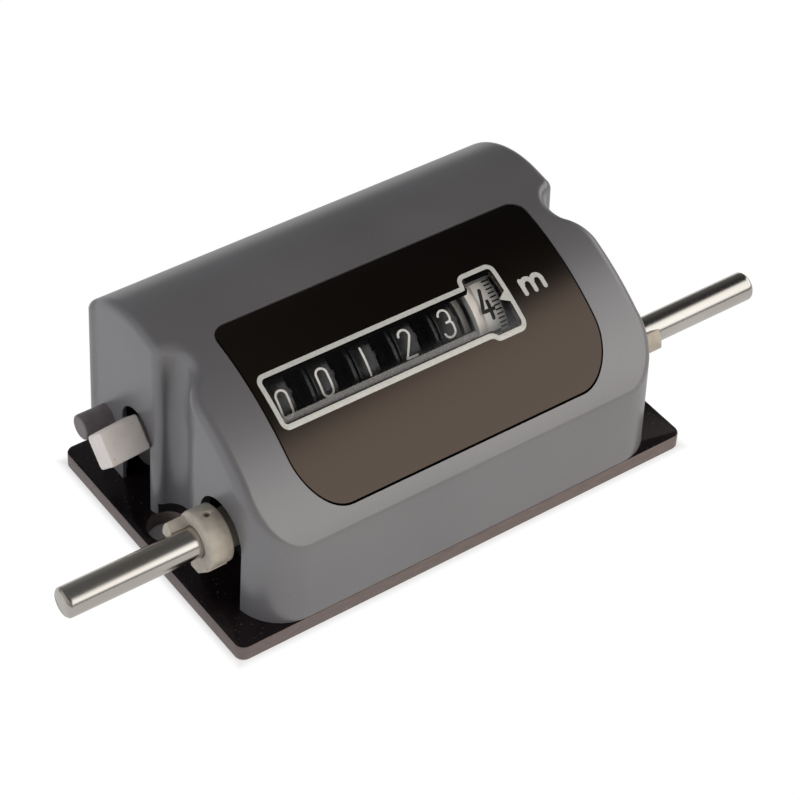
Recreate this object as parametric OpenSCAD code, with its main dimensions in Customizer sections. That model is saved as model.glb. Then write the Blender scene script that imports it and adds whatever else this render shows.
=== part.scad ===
// Mechanical length counter with six number wheels under a curved window.
// A through shaft drives the wheels, and a lever at the left end sets them back.
// X runs along the shaft, the window faces -Y, and Z is up.
// The origin is at the bottom centre of the base plate. Sizes are in millimetres.

/* [Base plate] */
// Length of the base plate along the shaft
plate_l = 105; // [102:1:125]
// Depth of the base plate from front to back
plate_w = 63; // [63:1:75]
// Thickness of the base plate
plate_t = 3.5; // [3:0.5:6]
// Corner radius of the base plate
plate_corner_r = 2; // [0.5:0.5:5]
// Diameter of the two fixing holes
mount_hole_d = 8; // [4:0.5:8.5]
// Distance between the two fixing holes
mount_pitch = 93.2; // [92:0.2:95]
// Distance of the fixing holes behind the middle of the plate
mount_y = 2.6; // [0:0.2:4]

/* [Housing] */
// Length of the housing
body_l = 94; // [92:1:100]
// How far the housing stands back from the edge of the base plate, front and rear
plate_margin = 0.1; // [0:0.05:1]
// Height of the crown above the bench
body_h = 46.2; // [46:0.1:48]
// Height of the edge between the front wall and the hood
front_edge_h = 21.9; // [21:0.1:22.1]
// Rise of the long curve of the hood over the straight line between its ends
hood_bulge = 4.43; // [4:0.01:4.7]
// Slope of the straight bridge between the long curve and the crown, in degrees
bridge_slope = 9.18; // [6:0.01:12]
// Radius of the crown behind the window
crown_r = 21.8; // [20:0.1:22.5]
// Distance of the crown in front of the housing's rear edge
crown_back = 17.1; // [16:0.1:19]
// Length of the straight bridge between the long curve and the crown
bridge_l = 6.33; // [4:0.01:8]
// Radius of the edge between the crown and the back wall
rear_edge_r = 3.5; // [1:0.1:5]
// Radius of the upright front corners
front_corner_r = 9.5; // [5:0.1:11]
// Radius of the upright rear corners
rear_corner_r = 3.2; // [3:0.1:6]
// Wall thickness of the housing
wall = 2.2; // [1.6:0.1:2.6]
// Height of the collar around each fixing hole above the plate
collar_h = 2.5; // [1:0.1:4]
// Radius of the channel that a screwdriver reaches each fixing hole through
channel_r = 4.6; // [4.4:0.1:5]
// Radius of the soft lip on the window side of the channel
channel_front_lip_r = 5; // [3:0.1:6]
// Radius of the sharper lip on the rear side of the channel
channel_rear_lip_r = 1.4; // [0.5:0.1:3]

/* [Window] */
// Width of the window panel along the shaft
window_l = 71.6; // [66:0.1:74]
// Distance from the housing's rear to the rear edge of the window panel
window_rear_back = 25.8; // [24:0.1:28]
// Distance from the housing's front to the front edge of the window panel
window_front_in = 2.2; // [1.8:0.1:4]
// Thickness of the window panel
window_t = 1.2; // [0.8:0.1:1.4]
// Corner radius of the window panel at its rear
window_rear_corner_r = 3; // [1:0.1:6]
// Corner radius of the window panel at its front
window_front_corner_r = 8.5; // [3:0.1:10]
// Gap between the window panel and its recess
window_gap = 0.15; // [0.05:0.05:0.3]
// Front edge of the reading strip, in front of the wheel axle
strip_front = 15.6; // [14:0.1:16]
// Rear edge of the reading strip, in front of the wheel axle
strip_rear = 7.4; // [7:0.1:9]
// How much wider the strip is at the units wheel, on each side
strip_step = 1.1; // [0:0.1:1.8]
// How far the housing's ledge shows in front of the numbers
strip_ledge = 1.1; // [0:0.1:1.5]
// How far the strip reaches past the middle of the last wheel
strip_past_last = 2.9; // [2.5:0.1:3.2]
// How far the strip reaches past the middle of the units wheel
strip_past_units = 2.2; // [1.8:0.1:2.5]
// How far the wide end of the strip starts beyond the gap before the units wheel
strip_step_past = 0.4; // [0:0.1:0.8]
// Corner radius of the reading strip
strip_corner_r = 0.8; // [0.3:0.1:2]

/* [Number wheels] */
// Number of wheels
wheel_count = 6; // [4:1:6]
// Outer radius of a number wheel
wheel_r = 13.7; // [12:0.1:13.9]
// Distance from one wheel to the next
wheel_pitch = 9.4; // [9.2:0.1:9.6]
// Width of the rim that carries the numbers
rim_w = 5.6; // [5:0.1:6]
// Depth of the groove between a rim's flange and its numbers
rim_groove = 0.6; // [0.2:0.1:1.2]
// Width of the band that carries the numbers
band_w = 4.4; // [4:0.1:4.6]
// Width of a rim's flange
flange_w = 0.6; // [0.4:0.1:1]
// Thickness of the rim
rim_t = 1.7; // [1:0.1:2.5]
// Place of the units wheel along the shaft
units_x = 17.4; // [16:0.1:18]
// How much wider the rim of the units wheel is on its left side
units_rim_more = 0.9; // [0:0.1:1]
// How far the units wheel stands to the right of its place in the row
units_shift = 1; // [0:0.1:1.4]
// Space between the wheels and the inside of the housing
wheel_gap = 1.2; // [1:0.1:2]
// Direction from the hood's centre to the wheel axle, in degrees in front of upright
wheel_dir = 21; // [19:0.5:23]
// Radius of the wheel axle
wheel_axle_r = 2; // [1.5:0.1:2.5]
// Radius of a wheel's hub
wheel_hub_r = 3.4; // [3:0.1:3.6]
// Thickness of the web between hub and rim
web_t = 1.4; // [1:0.1:3]
// Running clearance of anything that turns on an axle
run_gap = 0.05; // [0.03:0.01:0.1]

/* [Carry gears] */
// Teeth of the ring gear on each wheel
ring_teeth = 20;
// Width of the notch in a carry disc
notch_w = 2.6; // [1.5:0.1:4]
// Teeth of a carry pinion
pinion_teeth = 8;
// Radius of the axle of the carry pinions
pinion_axle_r = 1.1; // [0.8:0.1:1.4]
// Space between the pinion axle and the wheels
pinion_axle_gap = 0.8; // [0.5:0.1:2]
// Height of the pinion axle above the wheel axle, as an angle in degrees
pinion_dir = 20; // [10:1:30]
// Width of a ring gear
ring_w = 1.1; // [0.8:0.05:1.2]
// Width of a reset cam
cam_w = 1; // [0.8:0.05:1.1]
// Radius of a reset cam
cam_r = 4.2; // [3.8:0.1:4.4]
// Offset of a reset cam from the wheel axle
cam_offset = 1.8; // [1:0.1:1.9]
// Width of a carry disc
carry_w = 1; // [0.8:0.05:1.05]

/* [Drive] */
// Diameter of the input shaft
shaft_d = 6; // [4:0.5:8]
// Length of the input shaft
shaft_l = 160; // [130:1:200]
// How much thicker the shaft is between its two free ends, on the radius
shaft_shoulder = 0.2; // [0.2:0.05:0.4]
// Depth of the grooves for the retaining rings
ring_groove_d = 0.45; // [0.3:0.05:0.6]
// Chamfer at both ends of the input shaft
shaft_chamfer = 0.5; // [0.2:0.1:1]
// Space between the input shaft and the wheels
shaft_gap = 1.06; // [0.8:0.01:2]
// Drop of the input shaft below the wheel axle, as an angle in degrees
shaft_dir = 25.7; // [22:0.1:30]
// Teeth of each of the two equal drive gears
drive_teeth = 32;
// Width of the drive gear on the input shaft
drive_gear_w = 2.4; // [1.5:0.1:2.8]
// Width of the gear on the units wheel
units_gear_w = 3; // [2.9:0.1:4]
// Wall of the bush around the input shaft
bush_wall = 3; // [2:0.05:3.2]
// How far the bush stands out of the housing
bush_out = 5.2; // [4:0.1:7]
// Length of the prong beyond the bush
prong_out = 3.6; // [1:0.1:5]
// Radius of the prong's outer side
prong_r = 5.3; // [4:0.1:5.4]
// Gap between the bush and the slot in the housing
slot_gap = 0.55; // [0.3:0.05:1]

/* [Reset] */
// Radius of the reset shaft
reset_shaft_r = 2.2; // [1.5:0.1:2.5]
// Wall of the comb's sleeve on the reset shaft
comb_wall = 1.2; // [0.8:0.1:1.6]
// Space between the comb's sleeve and the wheels
comb_gap = 2.2; // [1.2:0.1:3]
// Drop of the reset shaft below the wheel axle, as an angle in degrees
reset_dir = 36.6; // [34:0.1:38]
// Angle that the reset lever turns through
reset_travel = 20; // [10:1:22]
// Thickness of a comb finger
finger_t = 0.7; // [0.5:0.05:0.75]
// Width of a comb finger
finger_w = 1.6; // [1:0.1:2]
// Length of the reset lever outside the housing
lever_out = 8; // [5:0.1:12]
// Width of the reset lever
lever_w = 5.8; // [4.5:0.1:6]
// Depth of the reset lever
lever_d = 6.2; // [4.5:0.1:6.4]
// Thickness of the neck that joins the reset lever to its crank
lever_neck = 4; // [3:0.1:4.2]
// Distance of the reset lever from the reset shaft
lever_reach = 6.6; // [6:0.1:7.5]
// Radius of the crank's boss
crank_r = 5.2; // [4:0.1:5.6]
// Radius of the finger pin beside the lever
finger_pin_r = 2.6; // [2:0.1:3]
// How far the finger pin stands out of the housing
finger_pin_out = 5.5; // [3:0.1:10]

/* [Frame] */
// Thickness of the side plates
frame_t = 2; // [1.5:0.1:2.5]
// Space between the side plates and the inside of the hood
frame_gap = 2; // [1:0.1:3]
// Radius of the tie rods
rod_r = 2; // [1.5:0.1:2.2]
// Diameter of the screws
screw_d = 3; // [2.5:0.5:3]
// Distance of the front tie rod in front of the wheel axle
rod_front_out = 8; // [7:0.1:9]
// Height of the lower tie rods above the base plate
rod_lift = 4; // [3.5:0.1:4.5]
// Distance of the rear tie rod behind the reset shaft
rod_rear_out = 5.5; // [5:0.1:6]
// Distance of the upper tie rod behind the pinion axle
rod_top_out = 9.4; // [8:0.1:10]
// Height of the upper tie rod over the pinion axle
rod_top_rise = 1.7; // [1:0.1:2]
// Length of the housing's screws beyond the base plate
cover_screw_l = 9; // [6:0.5:10]
// Length of the frame's screws beyond the base plate
frame_screw_l = 4; // [3:0.5:5]
// Radius of the housing's screw bosses
boss_r = 3; // [2.6:0.1:3.2]

/* [Hidden] */
$fn = 96;
eps = 0.01;
reach = 200;

// A seated fit leaves this much room around a fixed piece
seat_gap = 0.02;
// Ends that only have to stay clear of each other leave this much
end_gap = 0.2;

// Small step that keeps two curves from only just touching
blend = 0.02;

body_d = plate_w - 2 * plate_margin;

// The straight bridge meets the crown square to bridge_n, and the long curve runs from
// the other end of the bridge to the top of the front wall
crown_y = body_d / 2 - crown_back;
crown_c = [crown_y, body_h - crown_r];
bridge_n = [-sin(bridge_slope), cos(bridge_slope)];
crown_start = crown_c + crown_r * bridge_n;
hood_end = crown_start - bridge_l * [bridge_n[1], -bridge_n[0]];
hood_start = [-body_d / 2, front_edge_h];
chord = hood_end - hood_start;
hood_r = (pow(norm(chord) / 2, 2) + hood_bulge * hood_bulge) / (2 * hood_bulge);
hood_c = (hood_start + hood_end) / 2 - (hood_r - hood_bulge) / norm(chord) * [-chord[1], chord[0]];

// Wheel axle, input shaft, pinion axle and reset shaft, as [y, z]
wheel_seat = hood_r - wall - wheel_gap - wheel_r;
wheel_c = hood_c + wheel_seat * [-sin(wheel_dir), cos(wheel_dir)];
shaft_r = shaft_d / 2;
journal_r = shaft_r + shaft_shoulder;
drive_centre = wheel_r + shaft_r + shaft_gap;
shaft_c = wheel_c - drive_centre * [cos(shaft_dir), sin(shaft_dir)];
pinion_centre = wheel_r + pinion_axle_r + pinion_axle_gap;
pinion_c = wheel_c + pinion_centre * [cos(pinion_dir), sin(pinion_dir)];
comb_r = reset_shaft_r + comb_wall;
reset_centre = wheel_r + comb_r + comb_gap;
reset_c = wheel_c + reset_centre * [cos(reset_dir), -sin(reset_dir)];

wheel_last_x = units_x - (wheel_count - 1) * wheel_pitch;
units_wheel_x = units_x + units_shift;

// Ends of the reading strip along the shaft
strip_left_x = wheel_last_x - strip_past_last;
strip_right_x = units_wheel_x + strip_past_units;
strip_step_x = units_wheel_x - wheel_pitch / 2 + strip_step_past;

// Carry gears: the module follows from the distance between the two axles
carry_module = 2 * pinion_centre / (ring_teeth + pinion_teeth);
ring_pitch_r = carry_module * ring_teeth / 2;
pinion_pitch_r = carry_module * pinion_teeth / 2;
tooth_add = 0.85;
tooth_ded = 1.1;
pinion_tip_r = pinion_pitch_r + tooth_add * carry_module;
ring_tip_r = ring_pitch_r + tooth_add * carry_module;
carry_disc_r = pinion_centre - pinion_tip_r - 0.3;
wheel_gap_w = wheel_pitch - rim_w;
drive_module = drive_centre / drive_teeth;
drive_pitch_r = drive_centre / 2;

// The collar reaches a little way into the housing's wall
collar_r = channel_r + 0.7;

// Frame: the side plates stand just inside the channels of the housing
mount_x = mount_pitch / 2;
frame_x = mount_x - channel_r - wall - 0.3;
frame_in_x = frame_x - frame_t;
rod_front_c = [wheel_c[0] - rod_front_out, plate_t + rod_lift];
rod_rear_c = [reset_c[0] + rod_rear_out, plate_t + rod_lift];
rod_top_c = pinion_c + [rod_top_out, rod_top_rise];
foot_w = 7;
foot_d = 6;
foot_h = 5.5;
foot_front_y = shaft_c[0];
foot_rear_y = reset_c[0] - 5.5;
boss_x = 32;
boss_y = body_d / 2 - wall - boss_r + 0.6;
boss_h = 12;
screw_r = screw_d / 2;
head_r = screw_d;

// Bush and slot around the input shaft
bush_r = shaft_r + bush_wall;
slot_r = bush_r + slot_gap;
bush_face_x = body_l / 2 + bush_out;
free_end_x = bush_face_x + prong_out + 0.5;
spigot_r = shaft_r + 1.2;
oil_hole_d = 1.1;
lug_l = 4.2;
lug_r = bush_r + 1.4;

// Reset lever: its arm stands at lever_dir, and the opening is centred on mid travel
lever_dir = 120;
lever_tilt = 45;
lever_c = reset_c + lever_reach * [cos(lever_dir), sin(lever_dir)];
opening_c = reset_c + lever_reach * [cos(lever_dir - reset_travel / 2), sin(lever_dir - reset_travel / 2)];
opening_r = lever_neck * 0.5 * sqrt(2) + lever_reach * sin(reset_travel / 2) + 1.05;
crank_out_x = body_l / 2 - wall - 0.4;
crank_in_x = frame_x + 0.3;
finger_pin_c = reset_c + (crank_r + finger_pin_r + 0.3) * [cos(7.8), sin(7.8)];

// Comb: a finger ends clear of the cam even when the lever is pushed home
comb_end_angle = 15;
cam_reach = cam_r + cam_offset;
finger_clear = cam_reach + finger_w / 2 + 0.6;
finger_l = reset_centre * cos(comb_end_angle)
    - sqrt(pow(finger_clear, 2) - pow(reset_centre * sin(comb_end_angle), 2));
finger_dir = 180 - reset_dir + comb_end_angle + reset_travel;
cam_x = rim_w / 2 + ring_w;
finger_x = cam_x + cam_w / 2;
units_cam_x = rim_w / 2 + units_gear_w;

function wheel_x(k) = units_x - (k - 1) * wheel_pitch + (k == 1 ? units_shift : 0);
function hub_right(k) = k == 1 ? units_cam_x + cam_w + 0.25 : cam_x + cam_w + 0.25;
function hub_left(k) = hub_right(2) - wheel_pitch + end_gap - (k == 1 ? units_shift : 0);
// Points of a straight-flanked gear with its first tooth along the first axis
function gear_points(teeth, pitch_r, add, ded, phase) = [
    for (i = [0 : teeth - 1])
        for (p = [[-0.38, -ded], [-0.2, add], [0.2, add], [0.38, -ded]])
            let (r = pitch_r + p[1], a = phase + (i + p[0] * (p[1] > 0 ? 0.62 : 0.82)) * 360 / teeth)
                [r * cos(a), r * sin(a)]
];

// Turns a shape drawn in [y, z] into a bar along X, from x0 to x1
module bar_x(x0, x1) {
    translate([x0, 0, 0])
        rotate([90, 0, 90])
            linear_extrude(x1 - x0)
                children();
}

module rod_x(c, r, x0, x1) {
    translate([x0, c[0], c[1]])
        rotate([0, 90, 0])
            cylinder(r = r, h = x1 - x0);
}

module tube_x(c, r, bore_r, x0, x1) {
    difference() {
        rod_x(c, r, x0, x1);
        rod_x(c, bore_r, x0 - 1, x1 + 1);
    }
}

// Section of the housing across the shaft, drawn in by inset
module hood_outline(inset) {
    bridge_front = hood_end - inset * bridge_n;
    bridge_rear = crown_start - inset * bridge_n;
    half_d = body_d / 2 - inset;
    edge_r = max(rear_edge_r - inset, 0);
    edge_c = [body_d / 2 - rear_edge_r,
        crown_c[1] + sqrt(pow(crown_r - rear_edge_r, 2) - pow(body_d / 2 - rear_edge_r - crown_y, 2))];
    difference() {
        union() {
            intersection() {
                translate(hood_c) circle(r = hood_r - inset);
                translate([-half_d, 0]) square([half_d + bridge_rear[0], reach]);
            }
            intersection() {
                translate(crown_c) circle(r = crown_r - inset);
                translate([bridge_front[0], 0]) square([half_d - bridge_front[0], reach]);
            }
            polygon([bridge_front + blend * bridge_n, bridge_front - crown_r / 2 * bridge_n,
                bridge_rear - crown_r / 2 * bridge_n, bridge_rear + blend * bridge_n]);
            translate([bridge_front[0], 0]) square([half_d - bridge_front[0], crown_c[1]]);
        }
        if (edge_r > 0) {
            difference() {
                polygon([edge_c, edge_c + [reach, 0], edge_c + [reach, reach],
                    edge_c + reach * (edge_c - crown_c) / norm(edge_c - crown_c)]);
                translate(edge_c) circle(r = edge_r + blend);
            }
        }
    }
}

// Channel at the right end, seen from above: a round hollow with two lips
module channel_outline(inset) {
    hollow = [mount_x, mount_y];
    hollow_r = channel_r + inset;
    front_lip = [body_l / 2 - channel_front_lip_r,
        mount_y - sqrt(pow(channel_r + channel_front_lip_r, 2)
            - pow(mount_x - body_l / 2 + channel_front_lip_r, 2))];
    rear_lip = [body_l / 2 - channel_rear_lip_r,
        mount_y + sqrt(pow(channel_r + channel_rear_lip_r, 2)
            - pow(mount_x - body_l / 2 + channel_rear_lip_r, 2))];
    translate(hollow) circle(r = hollow_r);
    difference() {
        polygon([hollow, front_lip, [reach, front_lip[1]], [reach, hollow[1]]]);
        if (channel_front_lip_r > inset) translate(front_lip) circle(r = channel_front_lip_r - inset);
    }
    difference() {
        polygon([hollow, [reach, hollow[1]], [reach, rear_lip[1]], rear_lip]);
        if (channel_rear_lip_r > inset) translate(rear_lip) circle(r = channel_rear_lip_r - inset);
    }
}

// Rectangle with one corner radius at the front and another at the rear
module rounded(half_l, front, rear, front_r, rear_r) {
    intersection() {
        translate([-half_l, -front]) square([2 * half_l, front + rear]);
        union() {
            translate([-half_l, front_r - front]) square([2 * half_l, front + rear - front_r - rear_r]);
            translate([front_r - half_l, -front]) square([2 * (half_l - front_r), front + rear / 2]);
            translate([rear_r - half_l, 0]) square([2 * (half_l - rear_r), rear]);
            for (side = [-1, 1]) {
                translate([side * (half_l - front_r), front_r - front]) circle(r = front_r + blend);
                translate([side * (half_l - rear_r), rear - rear_r]) circle(r = rear_r + blend);
            }
        }
    }
}

// Outline of the housing seen from above, drawn in by inset
module plan_outline(inset) {
    difference() {
        rounded(body_l / 2 - inset, body_d / 2 - inset, body_d / 2 - inset,
            front_corner_r - inset, rear_corner_r - inset);
        channel_outline(inset);
        mirror([1, 0]) channel_outline(inset);
    }
}

// Outline of the window panel seen from above, grown by grow
module window_outline(grow) {
    rounded(window_l / 2 + grow, body_d / 2 - window_front_in + grow, body_d / 2 - window_rear_back + grow,
        window_front_corner_r + grow, window_rear_corner_r + grow);
}

// Half ring around the right fixing hole, seen from above
module collar_outline(room) {
    intersection() {
        translate([mount_x, mount_y]) circle(r = collar_r + room);
        translate([0, mount_y - reach / 2]) square([mount_x - 0.3 + room, reach]);
    }
}

// Upright slot with a round top that is open at the bottom
module slot_outline(c, r) {
    translate(c) circle(r = r);
    translate([c[0] - r, 0]) square([2 * r, c[1]]);
}

module base_plate() {
    color("#191416")
        difference() {
            union() {
                linear_extrude(plate_t)
                    rounded(plate_l / 2, plate_w / 2, plate_w / 2, plate_corner_r, plate_corner_r);
                linear_extrude(plate_t + collar_h) {
                    collar_outline(0);
                    mirror([1, 0]) collar_outline(0);
                }
            }
            for (side = [-1, 1])
                translate([side * mount_x, mount_y, -1]) cylinder(d = mount_hole_d, h = reach);
            for (p = concat(cover_screw_places(), frame_screw_places()))
                translate([p[0], p[1], 0]) screw_space(0.1);
        }
}

function cover_screw_places() = [for (sx = [-1, 1], sy = [-1, 1]) [sx * boss_x, sy * boss_y]];
function foot_x() = frame_in_x - foot_d / 2;
function frame_screw_places() = [for (sx = [-1, 1], y = [foot_front_y, foot_rear_y]) [sx * foot_x(), y]];

// Countersunk screw from below, with room around it
module screw_space(room) {
    translate([0, 0, -eps]) cylinder(r = screw_r + room, h = plate_t + 2 * eps);
    translate([0, 0, -eps]) cylinder(r1 = head_r + room, r2 = screw_r + room, h = screw_r + eps);
}

module housing() {
    color("#77777b")
        difference() {
            union() {
                difference() {
                    housing_block(0, plate_t);
                    housing_block(wall, plate_t - 1);
                }
                for (p = cover_screw_places())
                    translate([p[0], p[1], plate_t]) cylinder(r = boss_r, h = boss_h);
            }
            for (p = cover_screw_places())
                translate([p[0], p[1], plate_t - 1]) cylinder(r = screw_r, h = boss_h - 1);
            window_space(window_gap, hood_r - window_t - 0.05);
            view_opening();
            bar_x(-reach, reach) slot_outline(shaft_c, slot_r);
            bar_x(-reach, -frame_x) slot_outline(opening_c, opening_r);
            rod_x(finger_pin_c, finger_pin_r + 0.1, -reach, -frame_x);
            linear_extrude(plate_t + collar_h + 0.1) {
                collar_outline(0.1);
                mirror([1, 0]) collar_outline(0.1);
            }
        }
}

module housing_block(inset, bottom) {
    intersection() {
        translate([0, 0, bottom]) linear_extrude(reach) plan_outline(inset);
        bar_x(-reach, reach) hood_outline(inset);
    }
}

// Room for the window panel, from inner_r outward
module window_space(grow, inner_r) {
    difference() {
        translate([0, 0, front_edge_h]) linear_extrude(reach) window_outline(grow);
        rod_x(hood_c, inner_r, -reach, reach);
    }
}

// Opening in the housing behind the reading strip, with a ledge for the panel
module view_opening() {
    ledge = 1;
    rear_y = wheel_c[0] - strip_rear + strip_step + ledge;
    front_y = wheel_c[0] - strip_front + strip_ledge;
    step_front_y = wheel_c[0] - strip_front - strip_step;
    translate([strip_left_x - ledge, front_y, front_edge_h])
        cube([strip_right_x - strip_left_x + 2 * ledge, rear_y - front_y, reach]);
    translate([strip_step_x, step_front_y, front_edge_h])
        cube([strip_right_x + ledge - strip_step_x, rear_y - step_front_y, reach]);
}

// Reading strip seen from above: long over the black wheels, wider at the units wheel
module strip_outline(grow) {
    half_w = (strip_front - strip_rear) / 2;
    for (x = [strip_left_x, strip_step_x]) {
        end_half_w = half_w + grow + (x == strip_step_x ? strip_step : 0);
        translate([(x + strip_right_x) / 2, wheel_c[0] - (strip_front + strip_rear) / 2])
            rounded((strip_right_x - x) / 2 + grow, end_half_w, end_half_w, strip_corner_r, strip_corner_r);
    }
}

// Sheet of the window's thickness along the hood
module window_sheet() {
    intersection() {
        window_space(0, hood_r - window_t);
        rod_x(hood_c, hood_r - 0.05, -reach, reach);
    }
}

module window_panel() {
    color("#0b0b0c")
        difference() {
            window_sheet();
            translate([0, 0, front_edge_h]) linear_extrude(reach) strip_outline(0);
        }
}

// Clear strip that the numbers are read through
module window_lens() {
    color("#c8d0d4")
        intersection() {
            window_sheet();
            translate([0, 0, front_edge_h]) linear_extrude(reach) strip_outline(-0.05);
        }
}

module side_plate(side) {
    outer = side < 0 ? -frame_x : frame_in_x;
    inner = outer + frame_t;
    color("#141415")
        difference() {
            union() {
                bar_x(outer, inner)
                    intersection() {
                        hood_outline(wall + frame_gap);
                        translate([-reach / 2, plate_t]) square([reach, reach]);
                    }
                for (y = [foot_front_y, foot_rear_y])
                    translate([side * foot_x() - foot_d / 2, y - foot_w / 2, plate_t])
                        cube([foot_d, foot_w, foot_h]);
            }
            for (y = [foot_front_y, foot_rear_y])
                translate([side * foot_x(), y, plate_t - 1]) cylinder(r = screw_r, h = foot_h);
            rod_x(shaft_c, spigot_r + seat_gap, outer - 1, inner + 1);
            rod_x(wheel_c, wheel_axle_r + seat_gap, outer - 1, inner + 1);
            rod_x(pinion_c, pinion_axle_r + seat_gap, outer - 1, inner + 1);
            rod_x(reset_c, reset_shaft_r + run_gap, outer - 1, inner + 1);
            for (c = [rod_front_c, rod_rear_c, rod_top_c])
                rod_x(c, rod_r - 0.6 + seat_gap, outer - 1, inner + 1);
            if (side < 0) rod_x(finger_pin_c, finger_pin_r - 0.6 + seat_gap, outer - 1, inner + 1);
        }
}

module side_plate_left() { side_plate(-1); }

module side_plate_right() { side_plate(1); }

// Three rods with a thinner end in each side plate
module tie_rods() {
    color("#9a9a9c")
        for (c = [rod_front_c, rod_rear_c, rod_top_c]) {
            rod_x(c, rod_r, -frame_in_x, frame_in_x);
            rod_x(c, rod_r - 0.6, -frame_x, frame_x);
        }
}

module wheel_axle() {
    color("#b9b9bb") rod_x(wheel_c, wheel_axle_r, -frame_x, frame_x);
}

module pinion_axle() {
    color("#b9b9bb") rod_x(pinion_c, pinion_axle_r, -frame_x - 1.5, frame_x + 1.5);
}

// Spring clips outside the side plates on both ends of the pinion axle
module axle_clips() {
    color("#4a4a4c")
        for (x = [-frame_x - 0.9, frame_x + 0.3])
            tube_x(pinion_c, pinion_axle_r + 1.4, pinion_axle_r, x, x + 0.6);
}

module spacer_left() {
    color("#d8d4c8")
        tube_x(wheel_c, wheel_hub_r, wheel_axle_r + run_gap, -frame_in_x,
            wheel_last_x + hub_left(wheel_count) - end_gap);
}

module spacer_right() {
    color("#d8d4c8")
        tube_x(wheel_c, wheel_hub_r, wheel_axle_r + run_gap, units_wheel_x + hub_right(1) + end_gap,
            frame_in_x);
}

// A number wheel: rim with a flange, web and hub, a carry disc on its left side, a gear
// and a reset cam on its right side
module number_wheel(k) {
    right_w = k == 1 ? units_gear_w : ring_w;
    x = wheel_x(k);
    rim_left_x = x - rim_w / 2 - (k == 1 ? units_rim_more : 0);
    color(k == 1 ? "#e6e3dd" : "#151516")
        difference() {
            union() {
                tube_x(wheel_c, wheel_r, wheel_r - rim_t, rim_left_x, x + rim_w / 2);
                rod_x(wheel_c, wheel_r - rim_t + eps, x - web_t / 2, x + web_t / 2);
                rod_x(wheel_c, wheel_hub_r, x + hub_left(k), x + hub_right(k));
                carry_disc(k, rim_left_x - carry_w, rim_left_x + 0.3);
                bar_x(x + rim_w / 2 - 0.3, x + rim_w / 2 + right_w)
                    translate(wheel_c)
                        if (k == 1) polygon(gear_points(drive_teeth, drive_pitch_r, 0.48, 0.6,
                            180 + shaft_dir + 180 / drive_teeth));
                        else polygon(gear_points(ring_teeth, ring_pitch_r, tooth_add * carry_module,
                            tooth_ded * carry_module, pinion_dir));
                rod_x(wheel_c + [0, cam_offset], cam_r, x + rim_w / 2 + right_w - eps,
                    x + rim_w / 2 + right_w + cam_w);
            }
            rod_x(wheel_c, wheel_axle_r + run_gap, x - wheel_pitch, x + wheel_pitch);
            tube_x(wheel_c, wheel_r + 1, wheel_r - rim_groove, rim_left_x + flange_w, x + rim_w / 2 - band_w);
        }
}

// Disc beside the rim, with the notch where the next wheel is moved on
module carry_disc(k, x0, x1) {
    notch_dir = pinion_dir + 135;
    bar_x(x0, x1)
        translate(wheel_c)
            difference() {
                circle(r = carry_disc_r);
                if (k < wheel_count) rotate(notch_dir) translate([carry_disc_r, 0]) circle(d = notch_w);
            }
}

module number_wheel_1() { number_wheel(1); }
module number_wheel_2() { number_wheel(2); }
module number_wheel_3() { number_wheel(3); }
module number_wheel_4() { number_wheel(4); }
module number_wheel_5() { number_wheel(5); }
module number_wheel_6() { number_wheel(6); }

// Pinion between wheel k and wheel k + 1
module carry_pinion(k) {
    mid_x = wheel_x(k + 1) + wheel_pitch / 2;
    half_w = wheel_gap_w / 2 - 0.15;
    color("#a9a7a0")
        difference() {
            bar_x(mid_x - half_w, mid_x + half_w)
                translate(pinion_c)
                    polygon(gear_points(pinion_teeth, pinion_pitch_r, tooth_add * carry_module,
                        tooth_ded * carry_module, pinion_dir + 180 + 180 / pinion_teeth));
            rod_x(pinion_c, pinion_axle_r + run_gap, mid_x - 5, mid_x + 5);
        }
}

module carry_pinion_1() { carry_pinion(1); }
module carry_pinion_2() { carry_pinion(2); }
module carry_pinion_3() { carry_pinion(3); }
module carry_pinion_4() { carry_pinion(4); }
module carry_pinion_5() { carry_pinion(5); }

module input_shaft() {
    color("#b7b2ab")
        difference() {
            union() {
                rod_x(shaft_c, journal_r, -free_end_x, free_end_x);
                rod_x(shaft_c, shaft_r, shaft_chamfer - shaft_l / 2, -free_end_x);
                rod_x(shaft_c, shaft_r, free_end_x, shaft_l / 2 - shaft_chamfer);
                for (side = [-1, 1])
                    translate([side * (shaft_l / 2 - shaft_chamfer), shaft_c[0], shaft_c[1]])
                        rotate([0, side * 90, 0])
                            cylinder(r1 = shaft_r, r2 = shaft_r - shaft_chamfer, h = shaft_chamfer);
            }
            for (side = [-1, 1])
                tube_x(shaft_c, shaft_r + 1, ring_bore_r, ring_x(side), ring_x(side) + ring_t);
        }
}

ring_t = 0.8;
ring_bore_r = journal_r - ring_groove_d;
spigot_in_x = frame_in_x - 0.5;
function ring_x(side) = side < 0 ? -spigot_in_x + end_gap : spigot_in_x - end_gap - ring_t;

// Retaining rings that keep the shaft from sliding
module shaft_rings() {
    color("#4a4a4c")
        for (side = [-1, 1])
            tube_x(shaft_c, shaft_r + 1.6, ring_bore_r, ring_x(side), ring_x(side) + ring_t);
}

module drive_gear() {
    gear_x = units_wheel_x + rim_w / 2 + (units_gear_w - drive_gear_w) / 2;
    hub_w = 4;
    color("#c9a55a")
        difference() {
            union() {
                bar_x(gear_x, gear_x + drive_gear_w)
                    translate(shaft_c)
                        polygon(gear_points(drive_teeth, drive_pitch_r, 0.48, 0.6, shaft_dir));
                rod_x(shaft_c, shaft_r + 2, gear_x, gear_x + drive_gear_w + hub_w);
            }
            rod_x(shaft_c, journal_r, gear_x - 1, gear_x + drive_gear_w + hub_w + 1);
        }
}

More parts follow.
